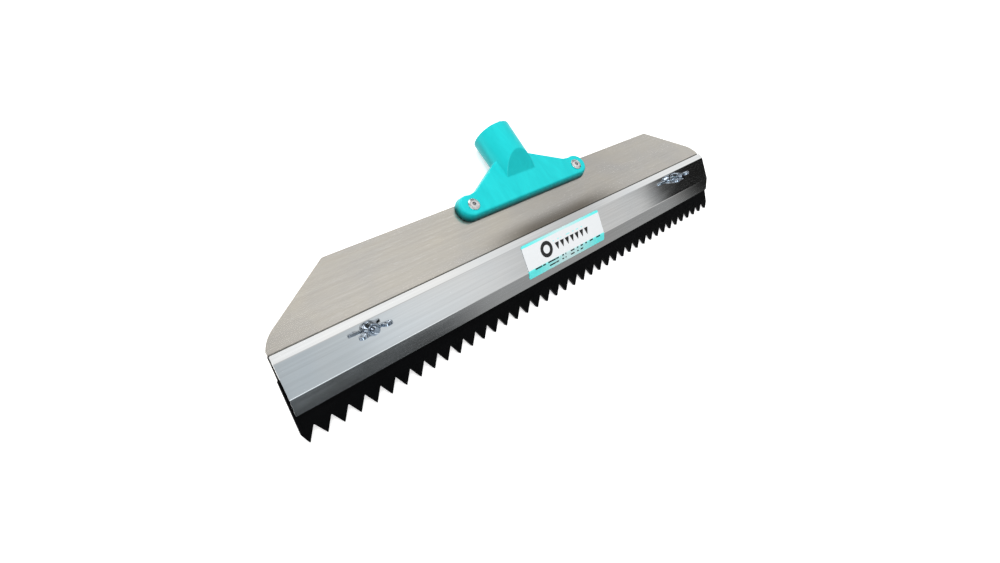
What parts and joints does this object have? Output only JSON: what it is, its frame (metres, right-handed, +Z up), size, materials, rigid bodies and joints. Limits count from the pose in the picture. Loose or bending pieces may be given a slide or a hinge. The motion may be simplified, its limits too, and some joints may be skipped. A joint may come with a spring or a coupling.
{
  "type": "notched floor squeegee",
  "caption": "Wide spreader with a toothed rubber blade clamped under a bent stainless plate by wing nuts, and a riveted plastic socket for a long handle.",
  "frame": {"origin": "Centre of the bounding box in X and Y, on the floor: the tool lies on its blade's tooth tips and on the lowest point of its socket's rim", "axes": "+X along the blade, from the left wing nut to the right one; +Y from the teeth towards the handle socket; +Z up from the floor the tool lies on"},
  "size_m": [0.4501, 0.142, 0.0368],
  "materials": {
    "stainless": "rolled stainless sheet, fine grain along the blade",
    "rubber": "matt black rubber",
    "teal_plastic": "moulded polypropylene, satin",
    "rivet_aluminium": "bright",
    "zinc_plate": "bright bluish zinc plate",
    "label_film": null
  },
  "bodies": {
    "body": {"body_plate": "stainless", "handle_socket": "teal_plastic", "rivet_body_left": "rivet_aluminium", "rivet_body_right": "rivet_aluminium", "rivet_mandrel_left": "zinc_plate", "rivet_mandrel_right": "zinc_plate", "clamp_bolt_left": "zinc_plate", "clamp_bolt_right": "zinc_plate"},
    "clamp": {"clamp_plate": "stainless", "flat_washer_left": "zinc_plate", "flat_washer_right": "zinc_plate", "label": "label_film"},
    "nut_left": {"wing_nut_left": "zinc_plate"},
    "nut_right": {"wing_nut_right": "zinc_plate"},
    "blade": {"toothed_blade": "rubber"}
  },
  "joints": [
    {"name": "clamp_slide", "type": "slide", "parent": "body", "child": "clamp", "axis": [0, -0.3674, 0.9301], "range_m": [0, 0.003]},
    {"name": "nut_left_spin", "type": "hinge", "parent": "clamp", "child": "nut_left", "pos_m": [-0.167, -0.02947, 0.02572], "axis": [0, -0.3674, 0.9301], "range_deg": [0, 1350]},
    {"name": "nut_right_spin", "type": "hinge", "parent": "clamp", "child": "nut_right", "pos_m": [0.167, -0.02947, 0.02572], "axis": [0, -0.3674, 0.9301], "range_deg": [0, 1350]},
    {"name": "blade_slide", "type": "slide", "parent": "body", "child": "blade", "axis": [1, 0, 0], "range_m": [0, 0.4]}
  ],
  "couplings": [
    {"joint": "nut_left_spin", "follows": "clamp_slide", "rad_per_m": 7854},
    {"joint": "nut_right_spin", "follows": "clamp_slide", "rad_per_m": 7854}
  ]
}
